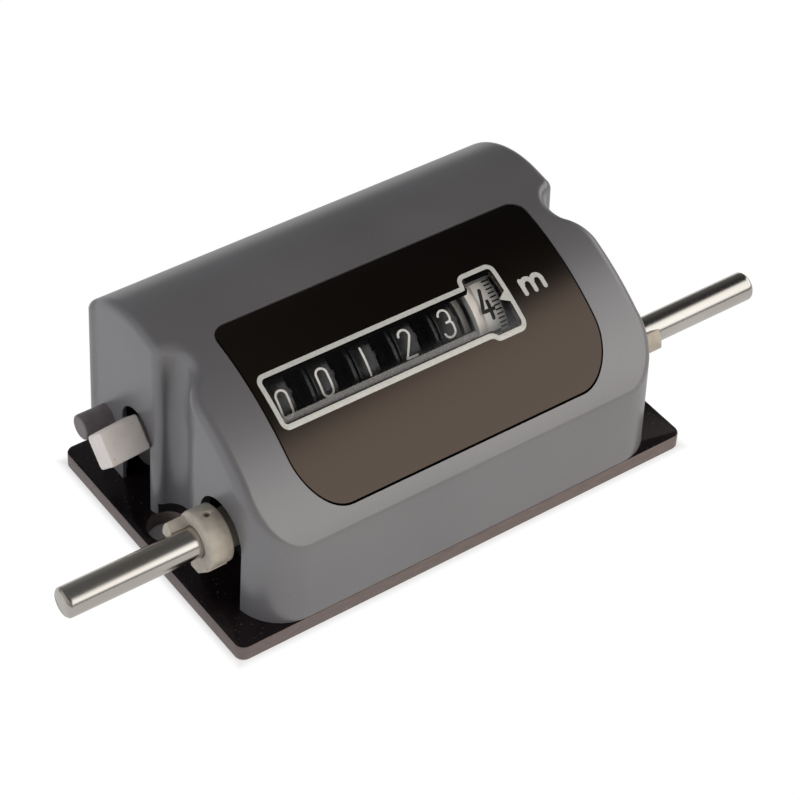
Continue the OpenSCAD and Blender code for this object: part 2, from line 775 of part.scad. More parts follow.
// Plastic bush on the right side plate: barrel, oil hole, prong and lower lug
module shaft_bush() {
    color("#cdc7ba")
        difference() {
            union() {
                rod_x(shaft_c, bush_r, frame_x, bush_face_x);
                rod_x(shaft_c, spigot_r, spigot_in_x, frame_x + eps);
                bar_x(bush_face_x - 1, bush_face_x + prong_out)
                    intersection() {
                        translate(shaft_c) circle(r = prong_r);
                        translate(shaft_c)
                            polygon([[0, 0], 2 * prong_r * [cos(-3), sin(-3)], 2 * prong_r * [cos(43), sin(43)]]);
                    }
                bar_x(bush_face_x - lug_l, bush_face_x)
                    translate(shaft_c)
                        polygon([[1.5, 0], [1.5, -lug_r], [-1, -lug_r], [-0.72 * bush_r, -0.7 * bush_r], [-1, 0]]);
            }
            rod_x(shaft_c, journal_r + run_gap, frame_in_x - 2, bush_face_x + prong_out + 1);
            translate([body_l / 2 + 0.52 * bush_out, shaft_c[0], shaft_c[1]])
                cylinder(d = oil_hole_d, h = reach / 10);
        }
}

module shaft_bush_left() { mirror([1, 0, 0]) shaft_bush(); }
module shaft_bush_right() { shaft_bush(); }

module reset_shaft() {
    color("#b9b9bb") rod_x(reset_c, reset_shaft_r, -crank_out_x, frame_x + 1.2);
}

// Crank on the left end of the reset shaft, with a square hole for the lever
module reset_crank() {
    color("#161617")
        difference() {
            union() {
                rod_x(reset_c, crank_r, -crank_out_x, -crank_in_x);
                rod_x(lever_c, crank_arm_r, -crank_out_x, -crank_in_x);
                bar_x(-crank_out_x, -crank_in_x)
                    translate(reset_c)
                        rotate(lever_dir)
                            translate([0, -crank_arm_r]) square([lever_reach, 2 * crank_arm_r]);
            }
            rod_x(reset_c, reset_shaft_r, -crank_out_x - 1, -crank_in_x + 1);
            bar_x(-crank_out_x - 1, -crank_in_x + 1)
                translate(lever_c)
                    rotate(lever_tilt) square(lever_neck + 2 * seat_gap, center = true);
        }
}

crank_arm_r = lever_neck / 2 * sqrt(2) + 0.8;

module reset_lever() {
    color("#dcd6d0") {
        bar_x(-body_l / 2 - 0.4 - lever_out, -body_l / 2 - 0.4)
            translate(lever_c)
                rotate(lever_tilt) square([lever_w, lever_d], center = true);
        bar_x(-body_l / 2 - 0.4 - eps, -crank_in_x)
            translate(lever_c)
                rotate(lever_tilt) square(lever_neck, center = true);
    }
}

// Sleeve on the reset shaft with one finger for the cam of each wheel
module reset_comb() {
    left_x = wheel_last_x + finger_x - 3;
    right_x = units_wheel_x + units_cam_x + cam_w + 2;
    color("#8f8d88")
        difference() {
            union() {
                rod_x(reset_c, comb_r, left_x, right_x);
                for (k = [1 : wheel_count])
                    comb_finger(wheel_x(k) + (k == 1 ? units_cam_x + cam_w / 2 : finger_x));
            }
            rod_x(reset_c, reset_shaft_r, left_x - 1, right_x + 1);
        }
}

module comb_finger(x) {
    bar_x(x - finger_t / 2, x + finger_t / 2)
        translate(reset_c)
            rotate(finger_dir) {
                translate([0, -finger_w / 2]) square([finger_l, finger_w]);
                translate([finger_l, 0]) circle(r = finger_w / 2);
            }
}

// Torsion spring on the reset shaft beside the left side plate
module reset_spring() {
    wire_r = 0.35;
    coil_r = reset_shaft_r + wire_r + 0.5;
    turns = 4;
    lead = 1.1;
    short_leg = 4.5;
    long_leg = 8;
    x0 = -frame_in_x + 0.6;
    x1 = x0 + turns * lead;
    rod_step = rod_rear_c - reset_c;
    start_dir = atan2(rod_step[1], rod_step[0]) - acos((coil_r + rod_r + wire_r + 0.05) / norm(rod_step));
    color("#8c8c8e") {
        coil(x0, x1, coil_r, wire_r, turns, start_dir);
        for (x = [x0, x1])
            translate([x, reset_c[0] + coil_r * cos(start_dir), reset_c[1] + coil_r * sin(start_dir)])
                rotate([start_dir + (x == x0 ? 180 : 0), 0, 0])
                    translate([0, 0, -wire_r])
                        cylinder(r = wire_r - eps, h = wire_r + (x == x0 ? short_leg : long_leg));
    }
}

// Round wire wound about the reset shaft
module coil(x0, x1, coil_r, wire_r, turns, start_dir) {
    steps = turns * 24;
    sides = 8;
    points = [
        for (i = [0 : steps])
            for (j = [0 : sides - 1])
                let (a = start_dir + i * 360 / 24, b = j * 360 / sides, r = coil_r + wire_r * cos(b))
                    [x0 + (x1 - x0) * i / steps + wire_r * sin(b), reset_c[0] + r * cos(a), reset_c[1] + r * sin(a)]
    ];
    skin = [
        for (i = [0 : steps - 1])
            for (j = [0 : sides - 1])
                let (a = i * sides + j, b = i * sides + (j + 1) % sides)
                    [a, b, b + sides, a + sides]
    ];
    first = [for (j = [sides - 1 : -1 : 0]) j];
    last = [for (j = [0 : sides - 1]) steps * sides + j];
    polyhedron(points, concat(skin, [first, last]), convexity = 10);
}

// Pin beside the lever that a finger holds against, riveted to the left side plate
module finger_pin() {
    color("#8d8788") {
        rod_x(finger_pin_c, finger_pin_r, -body_l / 2 - finger_pin_out, -frame_x);
        rod_x(finger_pin_c, finger_pin_r - 0.6, -frame_x - eps, -frame_in_x);
    }
}

// Countersunk screw with its point up
module screw(length) {
    cylinder(r = screw_r, h = length);
    cylinder(r1 = head_r, r2 = screw_r, h = screw_r);
}

module frame_screws() {
    color("#77777a")
        for (p = frame_screw_places())
            translate([p[0], p[1], 0]) screw(plate_t + frame_screw_l);
}

module cover_screws() {
    color("#77777a")
        for (p = cover_screw_places())
            translate([p[0], p[1], 0]) screw(plate_t + cover_screw_l);
}

base_plate();
housing();
window_panel();
window_lens();
side_plate_left();
side_plate_right();
tie_rods();
wheel_axle();
pinion_axle();
axle_clips();
spacer_left();
spacer_right();
number_wheel_1();
number_wheel_2();
number_wheel_3();
number_wheel_4();
number_wheel_5();
number_wheel_6();
carry_pinion_1();
carry_pinion_2();
carry_pinion_3();
carry_pinion_4();
carry_pinion_5();
input_shaft();
drive_gear();
shaft_rings();
shaft_bush_left();
shaft_bush_right();
reset_shaft();
reset_crank();
reset_lever();
reset_comb();
reset_spring();
finger_pin();
frame_screws();
cover_screws();
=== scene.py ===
import math

import bmesh
import bpy
from mathutils import Matrix, Vector


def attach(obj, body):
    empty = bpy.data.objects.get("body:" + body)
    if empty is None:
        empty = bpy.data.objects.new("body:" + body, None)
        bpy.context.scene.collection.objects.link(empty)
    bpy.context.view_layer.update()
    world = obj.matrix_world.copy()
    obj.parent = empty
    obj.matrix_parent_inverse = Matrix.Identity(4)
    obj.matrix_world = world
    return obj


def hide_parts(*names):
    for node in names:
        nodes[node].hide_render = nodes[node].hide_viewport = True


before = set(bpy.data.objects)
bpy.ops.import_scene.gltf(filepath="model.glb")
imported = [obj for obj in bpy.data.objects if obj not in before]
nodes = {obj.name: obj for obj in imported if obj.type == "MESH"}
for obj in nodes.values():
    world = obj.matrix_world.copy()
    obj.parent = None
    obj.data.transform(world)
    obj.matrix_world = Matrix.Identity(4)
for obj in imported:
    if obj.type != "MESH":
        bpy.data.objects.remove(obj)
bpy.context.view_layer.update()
scene = bpy.context.scene


# Base plate: a flat moulded sheet of hard black plastic with a glossy face and duller cut sides,
# which are painted paler, partly for the matt cut and partly as painted light. It is drilled for
# two fixing bolts, and from below for the countersunk screws that hold the frame and the housing.
# A half ring stands round each bolt hole.

class Wire:
    """A socket in a finish. Sums on it add their Math nodes."""

    def __init__(self, tree, socket=None):
        self.tree = tree
        self.socket = socket

    def node(self, kind, settings=(), sockets=(), out=0):
        """A new node of the finish, wired up. Gives one of its outputs."""
        made = self.tree.nodes.new("ShaderNode" + kind)
        for name, value in dict(settings).items():
            setattr(made, name, value)
        for name, value in dict(sockets).items():
            if isinstance(value, Wire):
                self.tree.links.new(value.socket, made.inputs[name])
            else:
                made.inputs[name].default_value = value
        return Wire(self.tree, made.outputs[out] if made.outputs else None)

    def math(self, operation, *values):
        return self.node("Math", {"operation": operation}, enumerate(values))

    def __add__(self, other):
        return self.math("ADD", self, other)

    __radd__ = __add__

    def __mul__(self, other):
        return self.math("MULTIPLY", self, other)

    __rmul__ = __mul__

    def __sub__(self, other):
        return self.math("SUBTRACT", self, other)

    def __rsub__(self, other):
        return self.math("SUBTRACT", other, self)


def srgb(*levels):
    """A colour given as it looks on a screen, from 0 to 255."""
    shades = [v / 255 for v in levels]
    return tuple(v / 12.92 if v < 0.04 else ((v + 0.055) / 1.055) ** 2.4 for v in shades) + (1.0,)


def start(name):
    """A new finish: its material, its nodes, and grain(size in mm, detail)."""
    material = bpy.data.materials.new(name)
    material.use_nodes = True
    material.node_tree.nodes.clear()
    tree = Wire(material.node_tree)
    place = tree.node("TexCoord", (), (), "Object")

    def grain(size, detail=2.0, stretch=None):
        where = place
        if stretch:
            where = tree.node("VectorMath", {"operation": "MULTIPLY"}, {0: place, 1: stretch})
        sockets = {"Vector": where, "Scale": 1000 / size, "Detail": detail}
        return tree.node("TexNoise", (), sockets, "Fac")

    return material, tree, grain


def blend(tree, amount, first, second):
    """A colour between two, by an amount from 0 to 1."""
    sockets = {0: amount, 6: first, 7: second}
    return tree.node("Mix", {"data_type": "RGBA"}, sockets, 2)


def spread(tree, value, low, high):
    """Stretches the part of value from low to high over 0 to 1."""
    return tree.node("MapRange", {"clamp": True}, {"Value": value, "From Min": low, "From Max": high})


def axis(tree, way, name):
    """One part of a place or a direction, by its letter."""
    return tree.node("SeparateXYZ", (), {"Vector": way}, name)


def close(tree, **sockets):
    """Ends a finish. A bump=(height, depth in mm) goes in as the normal."""
    if "bump" in sockets:
        height, depth = sockets.pop("bump")
        sockets["Normal"] = tree.node("Bump", (), {"Height": height, "Distance": depth / 1000})
    named = {name.replace("_", " "): value for name, value in sockets.items()}
    shader = tree.node("BsdfPrincipled", (), named)
    tree.node("OutputMaterial", (), {"Surface": shader})


def skin(rings, loop=False):
    """Faces over rings of points, with both ends closed unless the last ring meets the first."""
    count = len(rings[0])
    points = [p for ring in rings for p in ring]
    faces = []
    for i in range(len(rings) if loop else len(rings) - 1):
        a, b = i * count, (i + 1) % len(rings) * count
        for j in range(count):
            k = (j + 1) % count
            faces.append((a + j, a + k, b + k, b + j))
    if not loop:
        faces.append(tuple(range(count))[::-1])
        faces.append(tuple(range(len(points) - count, len(points))))
    return points, faces


def smooth(mesh, sharp=32):
    """Shades a mesh smooth, but for edges sharper than an angle in degrees."""
    mesh.shade_smooth()
    mesh.set_sharp_from_angle(angle=math.radians(sharp))


def piece(name, shapes, finish=None, body="frame", stands_for=(), sharp=32):
    """One piece from (points in mm, faces) shapes, with its finish, on the body it moves with."""
    points, faces = [], []
    for shape_points, shape_faces in shapes:
        faces += [tuple(i + len(points) for i in face) for face in shape_faces]
        points += shape_points
    mesh = bpy.data.meshes.new(name)
    mesh.from_pydata([Vector(p) / 1000 for p in points], [], faces)
    work = bmesh.new()
    work.from_mesh(mesh)
    bmesh.ops.recalc_face_normals(work, faces=work.faces)
    work.to_mesh(mesh)
    work.free()
    made = bpy.data.objects.new(name, mesh)
    scene.collection.objects.link(made)
    smooth(mesh, sharp)
    if finish:
        mesh.materials.append(finish)
        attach(made, body)
    if stands_for:
        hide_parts(*stands_for)
    return made


def settle(made):
    """Works the modifiers into the mesh."""
    shape = made.evaluated_get(bpy.context.evaluated_depsgraph_get())
    mesh = bpy.data.meshes.new_from_object(shape)
    made.modifiers.clear()
    made.data = mesh
    smooth(mesh)


def cut(made, tool, operation="DIFFERENCE"):
    """Cuts a piece with a tool, which is then gone."""
    step = made.modifiers.new("cut", "BOOLEAN")
    step.operation = operation
    step.object = tool
    step.solver = "EXACT"
    settle(made)
    bpy.data.objects.remove(tool)


def soften(made, width):
    """Rounds the sharp edges by width mm."""
    step = made.modifiers.new("soften", "BEVEL")
    step.width = width / 1000
    step.segments = 2
    step.limit_method = "ANGLE"
    step.angle_limit = math.radians(35)
    step.harden_normals = True
    settle(made)


def arc(cx, cy, radius, start_angle, end_angle, steps):
    """Points on an arc, angles in degrees."""
    turn = [math.radians(start_angle + (end_angle - start_angle) * i / steps) for i in range(steps + 1)]
    return [(cx + radius * math.cos(a), cy + radius * math.sin(a)) for a in turn]


def round_box(half_x, low_y, high_y, radius, steps=8, mid_x=0.0):
    """Outline of a rectangle with round corners, anticlockwise from above."""
    left, right = mid_x - half_x + radius, mid_x + half_x - radius
    low, high = low_y + radius, high_y - radius
    return (arc(right, low, radius, -90, 0, steps) + arc(right, high, radius, 0, 90, steps)
            + arc(left, high, radius, 90, 180, steps) + arc(left, low, radius, 180, 270, steps))


def upright(outline, low, high):
    """A prism on an outline seen from above."""
    return skin([[(x, y, z) for x, y in outline] for z in (low, high)])


def turned_up(x, y, profile, steps=48):
    """A shape turned about an upright line, from (radius, height) pairs."""
    return skin([[(px, py, z) for px, py in arc(x, y, r, 0, 360 - 360 / steps, steps - 1)]
                 for r, z in profile])


plate_black, tree, grain = start("plate_black")
facing = axis(tree, tree.node("NewGeometry", (), (), "Normal"), "Z")
side = spread(tree, tree.math("ABSOLUTE", facing), 0.9, 0.3)
cloud = grain(9, 3.0)
speck = spread(tree, grain(0.55, 1.0), 0.70, 0.76)
face = blend(tree, spread(tree, cloud, 0.35, 0.7), srgb(15, 10, 12), srgb(27, 20, 24))
face = blend(tree, speck * 0.5, face, srgb(92, 84, 86))
# The upright sides get a pale tone: partly the matt cut edge, partly painted light for the light the sides
# catch.
cut_side_and_painted_light = blend(tree, grain(0.7, 3.0, (0.2, 0.2, 1.0)), srgb(86, 77, 75), srgb(116, 105, 102))
close(tree, Base_Color=blend(tree, side, face, cut_side_and_painted_light),
      Specular_IOR_Level=0.4, Roughness=side * 0.25 + cloud * 0.12 + 0.16 + speck * 0.3,
      bump=(grain(0.5, 2.0) + side * grain(0.25, 2.0, (0.15, 0.15, 1.0)) * 2.0, 0.01))

plate_half_x, plate_half_y, plate_top, plate_corner = 52.5, 31.5, 3.5, 2
plate_rings = []
for inset, z in ((0.3, 0), (0.09, 0.09), (0, 0.3), (0, 3.15), (0.1, 3.4), (0.35, plate_top)):
    half_y = plate_half_y - inset
    outline = round_box(plate_half_x - inset, -half_y, half_y, plate_corner - inset)
    plate_rings.append([(x, y, z) for x, y in outline])
base_plate = piece("base_plate_slab", [skin(plate_rings)], plate_black, "frame",
                   ["base_plate"])
bolt_x, bolt_y = 46.6, 2.6
bolt_hole = [(4.3, -1), (4.3, 0), (4, 0.3), (4, 3.2), (4.25, plate_top), (4.25, 9)]
cut(base_plate, piece("tool", [turned_up(x, bolt_y, bolt_hole) for x in (-bolt_x, bolt_x)]))
cover_screw_places = [(x, y) for x in (-32, 32) for y in (-26.8, 26.8)]
frame_screw_places = [(x, y) for x in (-34.5, 34.5) for y in (-15.99, 10.01)]
screw_sink = [(3.2, -1), (3.2, 0.05), (1.6, 1.6), (1.6, 9)]
screw_sinks = [turned_up(x, y, screw_sink, 32) for x, y in cover_screw_places + frame_screw_places]
cut(base_plate, piece("tool", screw_sinks))

moulded_black, tree, grain = start("moulded_black")
close(tree, Base_Color=blend(tree, grain(3, 3.0), srgb(8, 6, 7), srgb(17, 13, 15)),
      Roughness=grain(1.0, 2.0) * 0.2 + 0.4, bump=(grain(0.4, 2.0), 0.01))
collar_outer, collar_inner, collar_foot, collar_top = 5.28, 4.0, 3.3, 6.0
half_ring = arc(0, 0, collar_outer, 93, 267, 26) + arc(0, 0, collar_inner, 267, 93, 26)
collars = [upright([(sign * (bolt_x + x), bolt_y + y) for x, y in half_ring], collar_foot, collar_top)
           for sign in (-1, 1)]
plate_collars = piece("plate_collars", collars, moulded_black, "frame")
soften(plate_collars, 0.2)


# Frame: two moulded black side plates with rods between them, plain steel axles with
# spring clips, nylon spacers, and plated screws put in from below.

def coat(names, finish):
    """Gives pieces of the CAD model their finish."""
    for name in names:
        mesh = nodes[name].data
        mesh.materials.clear()
        mesh.materials.append(finish)


frame_black, tree, grain = start("frame_black")
close(tree, Base_Color=blend(tree, grain(4, 3.0), srgb(17, 17, 18), srgb(31, 31, 33)),
      Roughness=grain(1.5, 2.0) * 0.2 + 0.38, bump=(grain(0.4, 2.0), 0.012))

steel, tree, grain = start("steel")
lines = grain(0.09, 2.0, (1.0, 0.03, 0.03))
close(tree, Base_Color=blend(tree, lines, srgb(176, 172, 166), srgb(204, 201, 197)), Metallic=1.0,
      Roughness=lines * 0.1 + grain(3, 2.0) * 0.06 + 0.14, bump=(lines, 0.0012))

spring_steel, tree, grain = start("spring_steel")
close(tree, Base_Color=blend(tree, grain(1.2, 3.0), srgb(96, 95, 98), srgb(150, 149, 151)), Metallic=1.0,
      Roughness=grain(0.5, 2.0) * 0.15 + 0.24, bump=(grain(0.2, 1.0), 0.002))

pinion_nylon, tree, grain = start("pinion_nylon")
close(tree, Base_Color=blend(tree, grain(3, 2.0), srgb(196, 190, 176), srgb(214, 209, 197)),
      Roughness=grain(0.8, 2.0) * 0.15 + 0.42, Subsurface_Weight=0.1, bump=(grain(0.35, 1.0), 0.006))

coat(["side_plate_left", "side_plate_right"], frame_black)
coat(["tie_rods", "wheel_axle", "pinion_axle"], steel)
coat(["axle_clips"], spring_steel)
coat(["spacer_left", "spacer_right"], pinion_nylon)

zinc_plate, tree, grain = start("zinc_plate")
cloud = grain(1.5, 3.0)
close(tree, Base_Color=blend(tree, cloud, srgb(150, 149, 146), srgb(184, 182, 176)), Metallic=1.0,
      Roughness=cloud * 0.2 + grain(0.3, 2.0) * 0.1 + 0.22, bump=(grain(0.4, 2.0), 0.004))
arm, reach = 0.42, 1.7
cross = [(arm, arm), (reach, arm), (reach, -arm), (arm, -arm), (arm, -reach), (-arm, -reach),
         (-arm, -arm), (-reach, -arm), (-reach, arm), (-arm, arm), (-arm, reach), (arm, reach)]
cross_levels = ((1, -1), (1, 0), (0.5, 1.3))
for name, places, tip in (("cover_screws", cover_screw_places, 12.5),
                          ("frame_screws", frame_screw_places, 7.5)):
    screw = [(2.93, 0), (3.0, 0.07), (1.5, 1.5), (1.5, tip - 0.5), (1.0, tip)]
    screws = piece(f"{name}_below", [turned_up(x, y, screw, 32) for x, y in places], zinc_plate,
                   "frame", [name])
    sockets = [skin([[(x + cx * part, y + cy * part, z) for cx, cy in cross] for part, z in cross_levels])
               for x, y in places]
    cut(screws, piece("tool", sockets))


# Number wheels: six moulded drums on the wheel axle. Five are glossy black with thin white
# numbers, and the one on the right is white with black numbers and a fine scale. The numbers
# are printed on the rim, which has a narrow flange on its left side.

wheel_y, wheel_z, wheel_radius = 0.014, 26.067, 13.7


def lathe(profile, y, z, steps, loop=False):
    """A shape turned about a line along the shaft, from (place along it, radius) pairs."""
    return skin([[(x, y + py, z + pz) for py, pz in arc(0, 0, r, 0, 360 - 360 / steps, steps - 1)]
                 for x, r in profile], loop)


def ribbon(path, width, closed=False, step=0.3):
    """Stations along a drawn line: (left point, right point), with round ends."""
    fine = [path[0]]
    ends = path[1:] + path[:1] if closed else path[1:]
    for end in ends:
        begin = fine[-1]
        parts = max(1, math.ceil(math.dist(begin, end) / step))
        fine += [tuple(a + (b - a) * i / parts for a, b in zip(begin, end)) for i in range(1, parts + 1)]
    if closed:
        fine.pop()
    fine = [p for i, p in enumerate(fine) if i == 0 or math.dist(p, fine[i - 1]) > 1e-6]
    count = len(fine)
    stations = []
    for i, (x, y) in enumerate(fine):
        before = fine[i - 1] if closed or i else fine[0]
        after = fine[(i + 1) % count] if closed or i < count - 1 else fine[-1]
        along = Vector((after[0] - before[0], after[1] - before[1])).normalized()
        stations.append((x, y, along.x, along.y, width / 2))
    if not closed:
        for place_in, sign in ((0, -1), (-1, 1)):
            x, y, ax, ay, half = stations[place_in]
            cap = [(x + sign * ax * half * math.sin(a), y + sign * ay * half * math.sin(a), ax, ay,
                    half * math.cos(a)) for a in (0.4, 0.8, 1.15, 1.45)]
            stations = cap[::-1] + stations if sign < 0 else stations + cap
    return [((x - ay * h, y + ax * h), (x + ay * h, y - ax * h)) for x, y, ax, ay, h in stations]


print_top, print_foot = 0.03, -0.05


def printed(paths, width, wrap, closed=False):
    """Thin raised print along paths, laid on a surface by wrap(u, v, height)."""
    shapes = []
    for number, path in enumerate(paths):
        top = print_top + 0.003 * number
        rings = [[wrap(*left, top), wrap(*right, top), wrap(*right, print_foot), wrap(*left, print_foot)]
                 for left, right in ribbon(path, width, closed)]
        shapes.append(skin(rings, closed))
    return shapes


head, foot = 2.36, -2.36
upper, lower = head - 1, 1 - head
# Each number as its drawn lines, and whether they close.
digits = {
    0: ([arc(0, upper, 1, 0, 180, 12) + arc(0, lower, 1, 180, 360, 12)], True),
    1: ([[(0, head), (0, foot)]], False),
    2: ([arc(0, upper, 1, 172, -18, 12) + [(-1, foot), (1.05, foot)]], False),
    3: ([arc(0, upper + 0.05, 0.95, 168, 0, 10) + arc(0.35, 0.75, 0.6, 0, -90, 6) + [(0, 0.15)],
         [(0, 0.15)] + arc(0.4, -0.5, 0.65, 90, 0, 6) + arc(0, lower + 0.05, 1.05, 0, -168, 10)], False),
    4: ([[(0.1, head), (-1.05, -1.0), (1.1, -1.0)], [(0.45, 0.35), (0.45, foot)]], False),
    5: ([[(0.95, head), (-0.85, head), (-0.92, 0.35)] + arc(0, lower + 0.9, 1, 120, 90, 3)
         + arc(0.1, lower + 0.75, 0.95, 80, 0, 6) + arc(0, lower, 1.05, 0, -165, 10)], False),
    6: ([arc(0, upper, 1, 20, 180, 10) + [(-1, lower)]
         + arc(0, lower, 1, 180, 360, 10) + arc(0, lower + 0.7, 1, 0, 165, 10)], False),
    7: ([[(-1.05, head), (1.0, head), (-0.25, foot)]], False),
    8: ([arc(0, upper + 0.1, 0.9, -60, 240, 14) + arc(0, lower + 0.05, 1.05, 125, 415, 14)], True),
    9: ([arc(0, upper, 1, 0, 360, 16) + [(1, lower)] + arc(0, lower, 1, 0, -160, 10)], False),
}

wheel_black, tree, grain = start("wheel_black")
haze = grain(2.2, 3.0)
close(tree, Base_Color=blend(tree, haze, srgb(6, 6, 7), srgb(19, 18, 19)), Specular_IOR_Level=0.4,
      Roughness=haze * 0.16 + 0.2, bump=(grain(0.5, 2.0), 0.006))

wheel_white, tree, grain = start("wheel_white")
close(tree, Base_Color=blend(tree, grain(2.5, 3.0), srgb(226, 222, 217), srgb(242, 239, 235)),
      Roughness=grain(0.8, 2.0) * 0.15 + 0.36, Subsurface_Weight=0.05, bump=(grain(0.4, 2.0), 0.006))

print_white, tree, grain = start("print_white")
close(tree, Base_Color=blend(tree, grain(0.5, 3.0), srgb(208, 208, 207), srgb(236, 236, 235)),
      Roughness=grain(0.6, 2.0) * 0.15 + 0.42, bump=(grain(0.25, 1.0), 0.003))

print_black, tree, grain = start("print_black")
close(tree, Base_Color=blend(tree, grain(0.5, 3.0), srgb(16, 15, 15), srgb(38, 36, 36)),
      Roughness=grain(0.6, 2.0) * 0.15 + 0.42, bump=(grain(0.25, 1.0), 0.003))

number_mid = (18.0, 8.6, -0.8, -10.2, -19.6, -29.0)
number_aside = (0.0, 0.0, 0.0, 0.0, 0.0, 0.2)
number_shown = (4, 3, 2, 1, 0, 0)
number_turn = (38.6, 39.8, 41.45, 41.3, 42.95, 45.9)
number_wide, rim_radius, rim_foot = 1.14, 13.72, 12.3
tick_start, tick_end, fifth_tick_end, tick_stroke = 1.6, 2.8, 3.0, 0.32
for k, mid, aside, shown, turn in zip(range(1, 7), number_mid, number_aside, number_shown, number_turn):
    units = k == 1
    left, right, tall, stroke = (-1.3, 3.3, 1.25, 0.76) if units else (-2.2, 2.2, 1.15, 0.45)
    rim_finish, number_finish = (wheel_white, print_black) if units else (wheel_black, print_white)

    def on_rim(u, v, height):
        angle = math.radians(turn) - v / wheel_radius
        r = wheel_radius + height
        return (mid + u, wheel_y - r * math.sin(angle), wheel_z + r * math.cos(angle))

    band = [(left + 0.3, rim_foot), (left, 12.6), (left, 13.4), (left + 0.08, 13.63),
            (left + 0.3, rim_radius), (right - 0.3, rim_radius),
            (right - 0.08, 13.63), (right, 13.4), (right, 12.6), (right - 0.3, rim_foot)]
    band_shape = lathe([(mid + x, r) for x, r in band], wheel_y, wheel_z, 120, True)
    piece(f"number_band_{k}", [band_shape], rim_finish, f"wheel_{k}")
    marks = []
    for value, (paths, closed) in digits.items():
        down = math.radians(36 * (value - shown)) * wheel_radius
        moved = [[(u * number_wide + aside, v * tall - down) for u, v in path] for path in paths]
        marks += printed(moved, stroke, on_rim, closed)
    if units:
        for i in range(100):
            v = math.radians(3.6 * i) * wheel_radius
            reach = tick_end if i % 5 else fifth_tick_end
            marks += printed([[(tick_start, v), (reach, v)]], tick_stroke, on_rim)
    piece(f"numbers_{k}", marks, number_finish, f"wheel_{k}", (), 60)
coat(["number_wheel_1"], wheel_white)
coat([f"number_wheel_{k}" for k in range(2, 7)], wheel_black)
coat([f"carry_pinion_{k}" for k in range(1, 6)], pinion_nylon)


# Input shaft: a ground steel rod right through the counter, with turned chamfers on its ends.
# A brass gear on it drives the units wheel, and two rings keep it from sliding.

shaft_y, shaft_z = -15.989, 18.365
shaft_radius, shaft_end = 3.0, 80
half_shaft = [(0, shaft_radius), (36.4, shaft_radius), (78.9, shaft_radius), (79.45, 2.98), (79.6, 2.92),
              (79.93, 2.62), (shaft_end, 2.5), (shaft_end, 1.0)]
shaft_profile = [(-x, r) for x, r in half_shaft[::-1]] + half_shaft[1:]

polished, tree, grain = start("shaft_steel")
lines = grain(0.12, 2.0, (1.0, 0.02, 0.02))
smear = grain(7, 3.0, (0.4, 1.0, 1.0))
close(tree, Base_Color=blend(tree, smear, srgb(186, 180, 171), srgb(212, 208, 201)), Metallic=1.0,
      Roughness=smear * 0.12 + lines * 0.06 + 0.1, bump=(lines, 0.0008))
piece("shaft_bar", [lathe(shaft_profile, shaft_y, shaft_z, 96)], polished, "shaft", ["input_shaft"])

brass, tree, grain = start("brass")
close(tree, Base_Color=blend(tree, grain(2, 3.0), srgb(178, 140, 76), srgb(206, 172, 104)), Metallic=1.0,
      Roughness=grain(0.6, 2.0) * 0.15 + 0.22, bump=(grain(0.15, 2.0, (1.0, 0.1, 0.1)), 0.002))
coat(["drive_gear"], brass)
coat(["shaft_rings"], spring_steel)


# Bushes: ivory plastic mouldings round the shaft, one in each side plate. Each has an oil hole
# on top, a prong that reaches out along the shaft, and a lug below.

bush_ivory, tree, grain = start("bush_ivory")
mottle = grain(2.6, 4.0)
close(tree, Base_Color=blend(tree, spread(tree, mottle, 0.3, 0.7), srgb(156, 149, 138), srgb(180, 174, 163)),
      Roughness=mottle * 0.2 + 0.36, Subsurface_Weight=0.15,
      Subsurface_Radius=(0.002, 0.0016, 0.0012), bump=(mottle * 2 + grain(0.4, 2.0), 0.03))


def along_shaft(outline, x0, x1, y, z):
    """A prism along the shaft on an outline seen from its end."""
    return skin([[(x, y + py, z + pz) for py, pz in outline] for x in (x0, x1)])


bush_start, neck = 39.5, 3.9
for sign, side_name, end, turn in ((-1, "left", 52.2, 1), (1, "right", 49.9, -1)):
    barrel = [(bush_start, 3.1), (bush_start, neck), (end - 4.9, neck), (end - 4.9, 5.4), (end - 4.6, 5.75),
              (end - 0.8, 5.8), (end - 0.4, 5.7), (end - 0.12, 5.42), (end, 5.1), (end, 3.3),
              (end - 0.2, 3.08)]
    barrel_shape = lathe([(sign * x, r) for x, r in barrel], shaft_y, shaft_z, 72, True)
    bush = piece(f"bush_{side_name}", [barrel_shape], bush_ivory, "frame",
                 [f"shaft_bush_{side_name}"])
    lug = ((1.5, -3.6), (1.5, -7.4), (-1.0, -7.4), (-4.32, -4.2), (-3.0, -3.0))
    prong = arc(0, 0, 5.3, -3, 43, 14) + arc(0, 0, 3.06, 43, -3, 14)
    for outline, x0, x1 in ((lug, end - 4.1, end), (prong, end - 0.7, end + 3.6)):
        turned = [(turn * y, z) for y, z in outline]
        cut(bush, piece("tool", [along_shaft(turned, sign * x0, sign * x1, shaft_y, shaft_z)]), "UNION")
    oil_hole = turned_up(sign * (end - 2.5), shaft_y, [(0.65, shaft_z + 2), (0.65, 23.7), (0.8, 24.4)], 24)
    cut(bush, piece("tool", [oil_hole]))
    soften(bush, 0.22)


# Reset lever: a square white nylon knob on a black crank, which turns the reset shaft and its
# comb against a spring. A finger holds against the grey pin beside it, riveted to the left
# side plate.

crank_black, tree, grain = start("crank_black")
close(tree, Base_Color=blend(tree, grain(3, 3.0), srgb(15, 15, 16), srgb(36, 35, 36)),
      Roughness=grain(1.0, 2.0) * 0.2 + 0.3, bump=(grain(0.4, 2.0), 0.01))
coat(["reset_crank"], crank_black)
coat(["reset_shaft"], steel)
coat(["reset_spring"], spring_steel)
coat(["reset_comb"], pinion_nylon)

